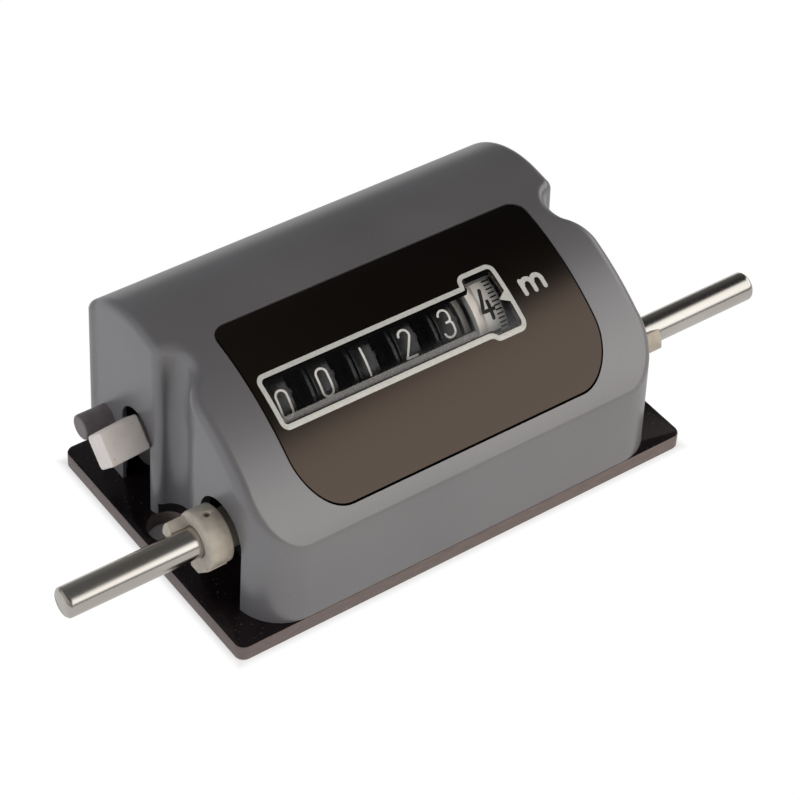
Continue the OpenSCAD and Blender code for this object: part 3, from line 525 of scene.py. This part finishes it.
lever_white, tree, grain = start("lever_white")
pores = spread(tree, grain(1.1, 1.0), 0.74, 0.79)
nylon = blend(tree, grain(3, 3.0), srgb(203, 196, 192), srgb(222, 216, 212))
close(tree, Base_Color=blend(tree, pores * 0.7, nylon, srgb(70, 64, 60)),
      Roughness=grain(0.9, 2.0) * 0.15 + 0.4, Subsurface_Weight=0.1,
      Subsurface_Radius=(0.0015, 0.0012, 0.001), bump=(grain(1.6, 3.0) - pores, 0.03))


def turned_square(half_w, half_d, radius):
    """Square section of the lever, standing on its edge."""
    tilt = math.radians(45)
    return [(x * math.cos(tilt) - y * math.sin(tilt), x * math.sin(tilt) + y * math.cos(tilt))
            for x, y in round_box(half_w, -half_d, half_d, radius, 4)]


lever_y, lever_z = 12.209, 20.276
arm_end, knob_start, knob_end = -39.8, -47.1, -55.4
lever_rings = []
for x, shrink in ((arm_end, 0.95), (-47.05, 0.95), (knob_start, 0.35), (-47.3, 0.08), (-47.5, 0),
                  (-54.9, 0.02), (-55.2, 0.15), (-55.38, 0.45), (knob_end, 0.7)):
    half_w, sink, rise = (2.1, 0, 0) if x > knob_start else (3.5 - shrink, 0.3, (x - knob_end) * 0.1)
    lever_rings.append([(x, lever_y + y - sink, lever_z + z - sink + rise)
                        for y, z in turned_square(half_w, 3.3 - shrink, max(0.55 - shrink / 3, 0.1))])
piece("lever_knob", [skin(lever_rings)], lever_white, "reset", ["reset_lever"])

pin_grey, tree, grain = start("pin_grey")
smooth_grain = grain(1.8, 3.0)
close(tree, Base_Color=blend(tree, smooth_grain, srgb(92, 86, 88), srgb(116, 109, 111)),
      Roughness=smooth_grain * 0.2 + 0.36, bump=(grain(0.5, 2.0), 0.01))
pin_y, pin_z, pin_radius, shank = 23.53, 15.75, 2.6, 2.0
pin_profile = [(-37.5, shank), (-39.5, shank), (-39.5, pin_radius), (-52.4, pin_radius), (-52.8, 2.5),
               (-53.0, 2.2), (-53.0, 1.0)]
piece("pin_bar", [lathe(pin_profile, pin_y, pin_z, 48)], pin_grey, "frame", ["finger_pin"])


# Housing: one moulding of grey plastic with an even satin skin. Its long hood runs down over
# the wheels to the front wall, a screwdriver channel runs down each end, and slots that are
# open below let it drop over the shaft and the lever.

hood_y, hood_z, hood_radius = 13.12, -8.074, 53.67
crown_y, crown_z, crown_radius = 14.3, 24.4, 21.8
bridge_start, bridge_end = (4.573, 44.911), (10.822, 45.921)
rear_y, rear_z, rear_radius = 27.9, 36.645, 3.5
half_length, half_depth = 47.0, 31.4
wall, edge_round, edge_sharp = 2.2, 2.1, 0.001
left_lean, right_lean = 0.00041, 0.00095
same_face = 0.03


def hood(y, inset=0.0):
    """Height of the hood at y, and its outward direction as y and z."""
    slope = math.hypot(bridge_end[0] - bridge_start[0], bridge_end[1] - bridge_start[1])
    up = ((bridge_start[1] - bridge_end[1]) / slope, (bridge_end[0] - bridge_start[0]) / slope)
    joint = math.hypot(rear_y - crown_y, rear_z - crown_z)
    over = crown_y + (rear_y - crown_y) / joint * (crown_radius - inset)
    if y < bridge_start[0] - up[0] * inset:
        mid_y, mid_z, r = hood_y, hood_z, hood_radius - inset
    elif y < bridge_end[0] - up[0] * inset:
        along = y - bridge_start[0] + up[0] * inset
        return bridge_start[1] - up[1] * inset - along * up[0] / up[1], up
    elif y < over:
        mid_y, mid_z, r = crown_y, crown_z, crown_radius - inset
    else:
        mid_y, mid_z, r = rear_y, rear_z, rear_radius - inset
    step = min(max(y - mid_y, -r), r)
    height = math.sqrt(r * r - step * step)
    return mid_z + height, (step / r, height / r)


def end_outline(inset):
    """Right half of the housing seen from above, from front to rear: x, y and outward way."""
    edge = half_length - inset
    corner, rear_corner = 9.5 - inset, max(2.4 - inset, 0.2)
    lips = [max(9.0 - inset, 0.2), max(2.15 - inset, 0.2)]
    hollow, hollow_y = 4.05 + inset, 1.85
    rise = [math.sqrt((hollow + r) ** 2 - (bolt_x - edge + r) ** 2) for r in lips]
    meet = [math.degrees(math.atan2(rise[0], bolt_x - edge + lips[0])),
            math.degrees(math.atan2(rise[1], bolt_x - edge + lips[1]))]
    low, high = hollow_y - rise[0], hollow_y + rise[1]

    def bend(cx, cy, r, a0, a1, steps, out=1):
        return [(x, y, out * (x - cx) / r, out * (y - cy) / r) for x, y in arc(cx, cy, r, a0, a1, steps)]

    points = bend(edge - corner, corner - half_depth + inset, corner, -90, 0, 18)
    start_y, steps = points[-1][1], 14
    points += [(edge, start_y + (low - start_y) * i / steps, 1, 0) for i in range(1, steps)]
    points += bend(edge - lips[0], low, lips[0], 0, meet[0], 9)
    points += bend(bolt_x, hollow_y, hollow, 180 + meet[0], 180 - meet[1], 26, -1)[1:]
    points += bend(edge - lips[1], high, lips[1], -meet[1], 0, 7)[1:]
    end_y, steps = half_depth - inset - rear_corner, 20
    points += [(edge, high + (end_y - high) * i / steps, 1, 0) for i in range(1, steps)]
    return points + bend(edge - rear_corner, end_y, rear_corner, 0, 90, 10)


def edge_points(x, y, nx, ny, inset, radius, rings):
    """The round from the wall to the hood at one place of the outline."""
    height, (hy, hz) = hood(y, inset)
    turn = math.acos(max(-1, min(1, ny * hy)))
    pull = radius / (1 + math.cos(turn))
    centre = Vector((x - pull * nx, y - pull * (ny + hy), height - pull * hz))
    sideways, upwards = Vector((nx, ny, 0)), Vector((0, hy, hz))
    points = []
    for i in range(rings + 1):
        part = i / rings
        way = sideways
        if turn >= 1e-4:
            way = sideways * math.sin((1 - part) * turn) + upwards * math.sin(part * turn)
            way = way / math.sin(turn)
        points.append(centre + way * radius)
    return points


def shell_side(inset, edge_radius, rings):
    """One skin of the housing: upright rings round it, then the rows of the hood."""
    wall_rows, columns = 5, 16
    right = end_outline(inset)
    first, last = right[0], right[-1]
    rear = [(last[0] * (1 - 2 * i / columns), last[1], 0, 1) for i in range(1, columns)]
    front = [(first[0] * (2 * i / columns - 1), first[1], 0, -1) for i in range(1, columns)]
    around = right + rear + [(-x, y, -nx, ny) for x, y, nx, ny in right[::-1]] + front
    levels = [[] for _ in range(wall_rows + rings + 1)]
    for x, y, nx, ny in around:
        edge = edge_points(x, y, nx, ny, inset, edge_radius, rings)
        for i in range(wall_rows):
            z = plate_top + (edge[0].z - plate_top) * i / wall_rows
            levels[i].append((edge[0].x, edge[0].y, z))
        for i, point in enumerate(edge):
            levels[wall_rows + i].append(tuple(point))
    count = len(right)
    total = len(around)
    points = [p for level in levels for p in level]
    faces = []
    for i in range(len(levels) - 1):
        for j in range(total):
            k = (j + 1) % total
            faces.append((i * total + j, i * total + k, (i + 1) * total + k, (i + 1) * total + j))
    base = (len(levels) - 1) * total
    rear_end = count + columns - 1
    rows = []
    for j in range(count):
        on_right, on_left = base + j, base + rear_end + count - 1 - j
        if j == 0:
            middle = [base + rear_end + count + i for i in range(columns - 1)]
        elif j == count - 1:
            middle = [base + count + i for i in range(columns - 1)][::-1]
        else:
            x, y, z = points[on_right]
            middle = list(range(len(points), len(points) + columns - 1))
            points += [(x * (2 * i / columns - 1), y, hood(y, inset)[0]) for i in range(1, columns)]
        rows.append([on_left] + middle + [on_right])
    for a, b in zip(rows, rows[1:]):
        faces += [(a[i], a[i + 1], b[i + 1], b[i]) for i in range(columns)]
    return points, faces, total


def draft(p):
    """The end walls lean in, the right one more, so that the moulding leaves its tool."""
    lean = right_lean if p[0] > 0 else left_lean
    return (p[0] * (1 - lean * (p[2] - plate_top)), p[1], p[2])


outer_points, outer_faces, around_count = shell_side(0.0, edge_round, 8)
inner_points, inner_faces = shell_side(wall, edge_sharp, 1)[:2]
shift = len(outer_points)
shell_points = [draft(p) for p in outer_points + inner_points]
shell_faces = outer_faces + [tuple(i + shift for i in face[::-1]) for face in inner_faces]
for j in range(around_count):
    k = (j + 1) % around_count
    shell_faces.append((j, k, shift + k, shift + j))

housing_grey, tree, grain = start("housing_grey")
drift = grain(28, 2.0)
satin = grain(0.5, 2.0)
tone = blend(tree, spread(tree, drift, 0.3, 0.7), srgb(90, 89, 92), srgb(98, 97, 100))
dust = spread(tree, grain(0.6, 1.0), 0.73, 0.78)
close(tree, Base_Color=blend(tree, dust * 0.25, tone, srgb(150, 149, 150)),
      IOR=1.6, Specular_IOR_Level=1.0,
      Roughness=drift * 0.08 + satin * 0.08 + 0.23, bump=(satin + grain(6, 2.0), 0.008))
housing = piece("housing_shell", [(shell_points, shell_faces)], housing_grey, "frame",
                ["housing"])


window_mid, window_edge, window_front, window_rear = 0.15, 35.15, 28.8, 5.6
window_gap, recess_radius, panel_radius, lens_radius, window_radius = 0.33, 52.42, 52.47, 53.22, 53.62


def pad(outline, low, high):
    """A plate that follows the hood, on the right half of the window's outline."""
    points = []
    for level in (high, low):
        for sign in (-1, 1):
            points += [(window_mid + sign * x, y, level(y)) for x, y in outline]
    count = len(outline)
    faces = []
    for i in range(count - 1):
        faces.append((i, count + i, count + i + 1, i + 1))
        faces.append((3 * count + i, 2 * count + i, 2 * count + i + 1, 3 * count + i + 1))
        faces.append((i + 1, 2 * count + i + 1, 2 * count + i, i))
        faces.append((count + i, 3 * count + i, 3 * count + i + 1, count + i + 1))
    faces.append((count, 0, 2 * count, 3 * count))
    faces.append((count - 1, 2 * count - 1, 4 * count - 1, 3 * count - 1))
    return points, faces


def around_hood(radius):
    """Height at y of a curve that runs along with the hood's front."""
    return lambda y: hood_z + math.sqrt(radius ** 2 - (y - hood_y) ** 2)


def window_outline(grow):
    """Right half of the window seen from above, from front to rear."""
    front_corner, rear_corner, edge = 8.5 + grow, 3.0 + grow, window_edge + grow
    start_y, end_y = front_corner - window_front - grow, window_rear + grow - rear_corner
    points = arc(edge - front_corner, start_y, front_corner, -90, 0, 16)
    points += [(edge, start_y + (end_y - start_y) * i / 40) for i in range(1, 40)]
    return points + arc(edge - rear_corner, end_y, rear_corner, 0, 90, 8)


inside, beyond = 39.6, 60
recess = pad(window_outline(window_gap), around_hood(recess_radius), lambda y: beyond)
cut(housing, piece("tool", [recess]))
view_hole = [(-33.5, -15.7), (12.0, -15.7), (12.0, -17.6), (21.6, -17.6), (21.6, -5.3), (-33.5, -5.3)]
cut(housing, piece("tool", [upright(view_hole, 22, beyond)]))
bush_slot = (6.9, -0.3, shaft_y, shaft_z)
lever_slot, lever_room = (5.025, 0, 13.251, 19.9), (5.9, 0, 14.3, 19.9)
for slot, x0, x1 in ((bush_slot, -beyond, -30), (bush_slot, 30, beyond), (lever_slot, -beyond, -inside),
                     (lever_room, -46.25, -inside)):
    radius, lift, y, z = slot
    outline = arc(0, lift, radius, 0, 180, 40) + [(-radius, -30), (radius, -30)]
    cut(housing, piece("tool", [along_shaft(outline, x0, x1, y, z)]))
pin_hole_y, pin_hole_z, pin_hole_radius = 23.534, 15.659, 2.7
pin_hole = lathe([(-beyond, pin_hole_radius), (-inside, pin_hole_radius)], pin_hole_y, pin_hole_z, 48)
cut(housing, piece("tool", [pin_hole]))
collar_room, collar_room_top = 5.4, 6.1
for sign in (-1, 1):
    outline = [(sign * (bolt_x + x), bolt_y + y) for x, y in arc(0, 0, collar_room, 92, 268, 30)]
    cut(housing, piece("tool", [upright(outline, 0, collar_room_top)]))


def true_way(made, way_at):
    """Gives the curved faces their exact direction, so that gloss runs over them evenly."""
    mesh = made.data
    ways = [corner.vector.copy() for corner in mesh.corner_normals]
    for face in mesh.polygons:
        exact = [way_at(mesh.vertices[mesh.loops[i].vertex_index].co * 1000) for i in face.loop_indices]
        if all(w and w.dot(face.normal) > 0.97 for w in exact):
            for i, w in zip(face.loop_indices, exact):
                ways[i] = w
    mesh.normals_split_custom_set(ways)


def hood_way(p):
    """The hood's direction, where a point lies on it."""
    height, (hy, hz) = hood(p.y)
    return Vector((0, hy, hz)) if abs(p.z - height) < same_face and p.y < 31 else None


true_way(housing, hood_way)


# Window: a curved panel of clear plastic in its recess in the hood. It is printed glossy black
# from behind, but for the reading strip. Under the strip's front edge lies a pale see-through grey
# band, painted light that stands for the lit ledge there. A white line runs round the strip, with a
# pointer and the letter of the unit at the units wheel.

def strip_tool():
    """The reading strip seen from above, wider at the units wheel."""
    made = piece("tool", [upright(round_box(26.65, -15.6, -7.4, 0.8, 5, -6.05), 15, 60)])
    units_end = piece("tool_end", [upright(round_box(3.25, -16.5, -5.5, 0.8, 5, 17.35), 14, 61)])
    cut(made, units_end, "UNION")
    return made


def window_way(p):
    """The window's direction, where a point lies on its face."""
    way = Vector((0, p.y - hood_y, p.z - hood_z))
    return way.normalized() if abs(way.length - window_radius) < same_face else None


window_black, tree, grain = start("window_black")
wipe = grain(14, 3.0, (0.35, 1.0, 1.0))
close(tree, Base_Color=blend(tree, wipe, srgb(2, 2, 2), srgb(6, 5, 5)), Specular_IOR_Level=0.8,
      Specular_Tint=(1.0, 0.76, 0.60, 1.0), Roughness=wipe * 0.1 + 0.12, bump=(grain(12, 1.0), 0.01))
face_outline = window_outline(0.0)
panel_shape = pad(face_outline, around_hood(panel_radius), around_hood(window_radius))
panel = piece("window_face", [panel_shape], window_black, "frame", ["window_panel"])
cut(panel, strip_tool())
true_way(panel, window_way)

window_clear, tree, grain = start("window_clear")
haze = grain(6, 3.0)
inner_face = tree.node("NewGeometry", (), (), "Backfacing")
close(tree, Base_Color=(1.0, 1.0, 1.0, 1.0), Metallic=1.0, Roughness=haze * 0.06 + 0.05,
      Alpha=tree.node("Fresnel", (), {"IOR": 1.49}) * (1 - inner_face) + haze * 0.01)
lens_shape = pad(face_outline, around_hood(lens_radius), around_hood(window_radius))
lens = piece("window_strip", [lens_shape], window_clear, "frame", ["window_lens"])
cut(lens, strip_tool(), "INTERSECT")
true_way(lens, window_way)

# A pale see-through grey band, raised out of the shade under the strip's edge: painted light that stands for
# the lit ledge.
ledge_painted_light, tree, grain = start("ledge_painted_light")
close(tree, Base_Color=blend(tree, grain(3, 3.0), srgb(172, 172, 172), srgb(194, 194, 194)),
      Roughness=grain(0.8, 2.0) * 0.2 + 0.4, Alpha=grain(2, 2.0) * 0.08 + 0.25, bump=(grain(0.5, 2.0), 0.006))
ledge_left, ledge_right, ledge_low, ledge_high, ledge_front = -32.4, 11.3, 52.5, 53.15, -15.55
ledge_corners = ((ledge_left, ledge_low), (ledge_right, ledge_low), (ledge_right, ledge_high),
                 (ledge_left, ledge_high))
ledge_rows = [[(x, y, around_hood(radius)(y)) for x, radius in ledge_corners]
              for y in [ledge_front + i * 0.15 for i in range(10)]]
piece("window_ledge", [skin(ledge_rows)], ledge_painted_light, "frame")


def on_window(u, v, height):
    """A point on the window's face, seen from above, at a height over it."""
    r = window_radius + height
    return (u, v, hood_z + math.sqrt(r * r - (v - hood_y) ** 2))


print_line, tree, grain = start("print_line")
close(tree, Base_Color=blend(tree, grain(0.5, 3.0), srgb(166, 168, 165), srgb(202, 204, 201)),
      Roughness=grain(0.6, 2.0) * 0.15 + 0.42, bump=(grain(0.25, 1.0), 0.003))
line_stroke, letter_stroke = 0.9, 0.92
line_path = (arc(-31.95, -15.2, 1.1, 180, 270, 6) + [(12.8, -16.3), (13.5, -16.38)]
             + arc(15.2, -15.9, 1.3, 216, 270, 4) + arc(19.9, -15.9, 1.3, 270, 360, 6)
             + arc(19.9, -6.1, 1.3, 0, 90, 6) + arc(14.8, -6.1, 1.3, 90, 175, 6)
             + [(13.3, -6.95)] + arc(-31.75, -8.2, 1.3, 90, 180, 6))
marks = printed([line_path], line_stroke, on_window, True)
letter_foot, letter_bend = -12.3, -10.9
letter = [[(24.7, letter_foot), (24.7, -9.9)],
          [(24.7, letter_bend)] + arc(25.95, letter_bend, 1.05, 165, 0, 8) + [(27.0, letter_foot)],
          [(27.0, letter_bend)] + arc(28.2, letter_bend, 1.05, 165, 0, 8) + [(29.25, letter_foot)]]
marks += printed(letter, letter_stroke, on_window)
pointer = ((18.9, -11.3), (21.0, -10.1), (21.0, -12.5))
marks.append(skin([[on_window(u, v, height) for u, v in pointer] for height in (0.034, print_foot)]))
piece("window_print", marks, print_line, "frame", (), 60)


# Surroundings: a pale table that glows white beyond the foot of the counter, and even studio
# light. Glossy faces mirror a bright side of the room at the front right. The camera stands
# where it did for the photograph, up and to the left of the front.

def rays(tree):
    """Whether a ray comes from the camera, and whether it was mirrored or went through."""
    shine = tree.node("LightPath", (), (), "Is Glossy Ray")
    through = tree.node("LightPath", (), (), "Is Transmission Ray")
    return tree.node("LightPath", (), (), "Is Camera Ray"), shine.math("MAXIMUM", shine, through)


table_white, tree, grain = start("table_white")
seen, mirrored = rays(tree)
cloth_colour = blend(tree, grain(40, 2.0), (0.86, 0.86, 0.86, 1), (0.9, 0.9, 0.9, 1))
cloth = tree.node("BsdfDiffuse", (), {"Color": cloth_colour})
glow = tree.node("Emission", (), {"Color": (1, 1, 1, 1), "Strength": seen * 0.32 + 0.7})
# The glow is held back under the plate and fades in just past its edges: a painted shade patch on the plate's
# footprint, where the table shows only its real shading.
place = tree.node("TexCoord", (), (), "Object")
from_mid_x, from_mid_y = [tree.math("ABSOLUTE", axis(tree, place, name)) for name in "XY"]
beyond_x, beyond_y = spread(tree, from_mid_x, 0.050, 0.054), spread(tree, from_mid_y, 0.029, 0.033)
glow_outside_shade_patch = tree.math("MAXIMUM", beyond_x, beyond_y)
glowing = tree.math("MAXIMUM", seen, mirrored) * glow_outside_shade_patch * 0.97
surface = tree.node("MixShader", (), {0: glowing, 1: cloth, 2: glow})
tree.node("OutputMaterial", (), {"Surface": surface})
table = piece("table", [upright(round_box(2500, -2500, 2500, 400), -20, -0.02)])
table.data.materials.append(table_white)

world = bpy.data.worlds.new("studio")
scene.world = world
world.use_nodes = True
world.node_tree.nodes.clear()
tree = Wire(world.node_tree)
way = tree.node("TexCoord", (), (), "Generated")
along, across, height = [axis(tree, way, name) for name in "XYZ"]
seen, mirrored = rays(tree)
lamp_side = spread(tree, across - along * 1.71, -1.07, -1.27)
lamp_rise = spread(tree, height, 0.12, 0.3) * spread(tree, height, 0.97, 0.8)
end_side = spread(tree, along, -0.3, -0.7) * spread(tree, height, 0.1, 0.3) * spread(tree, height, 0.8, 0.6)
mirror_level = (lamp_side * lamp_rise * 1.55 + end_side * 0.3 + spread(tree, height, 0.8, 0.3) * 0.1 + 0.03
                + spread(tree, along, 0.48, 0.34) * 0.1)
soft_level = spread(tree, height, 0.9, 0.1) * 0.26 + 0.12
level = seen + (1 - seen) * (mirrored * (mirror_level - soft_level) + soft_level)
sky = tree.node("Background", (), {"Color": (1, 1, 1, 1), "Strength": level})
tree.node("OutputWorld", (), {"Surface": sky})


def lamp(name, towards, distance, width, height, radiance, colour):
    """A soft box that faces the counter, of even brightness."""
    light = bpy.data.lights.new(name, "AREA")
    light.shape = "RECTANGLE"
    light.size = width
    light.size_y = height
    light.color = colour
    light.energy = radiance * math.pi * width * height
    made = bpy.data.objects.new(name, light)
    scene.collection.objects.link(made)
    way = Vector(towards).normalized()
    made.location = way * distance + Vector((0, 0, 0.02))
    made.rotation_mode = "QUATERNION"
    made.rotation_quaternion = way.to_track_quat("Z", "Y")
    made.visible_camera = False
    made.visible_glossy = False


lamp("front_light", (0.40, -0.84, 0.40), 0.9, 1.0, 0.7, 3.4, (1.0, 0.92, 0.83))
lamp("end_light", (-0.95, 0.08, 0.30), 1.5, 1.3, 1.0, 3.25, (0.96, 0.97, 1.0))
lamp("back_light", (0.35, 0.90, 0.35), 1.5, 1.3, 1.0, 1.2, (1.0, 1.0, 1.0))
lamp("top_light", (0.1, -0.35, 1.0), 1.6, 1.2, 0.7, 0.25, (1.0, 1.0, 1.0))

azimuth, rise, roll = [math.radians(angle) for angle in (-38.035, 42.708, 3.374)]
target, distance = Vector((8.729, 4.276, 6.777)) / 1000, 0.52265
back = Vector((math.sin(azimuth) * math.cos(rise), -math.cos(azimuth) * math.cos(rise), math.sin(rise)))
right = Vector((0, 0, 1)).cross(back).normalized()
up = back.cross(right)
right, up = right * math.cos(roll) + up * math.sin(roll), up * math.cos(roll) - right * math.sin(roll)
camera = bpy.data.objects.new("camera", bpy.data.cameras.new("camera"))
scene.collection.objects.link(camera)
camera.data.lens = 118.267
camera.data.sensor_width = 36
camera.data.clip_start = 0.01
camera.data.clip_end = 20
turned = Matrix((right, up, back)).transposed().to_4x4()
camera.matrix_world = Matrix.Translation(target + back * distance) @ turned
scene.camera = camera
scene.view_settings.view_transform = "Standard"
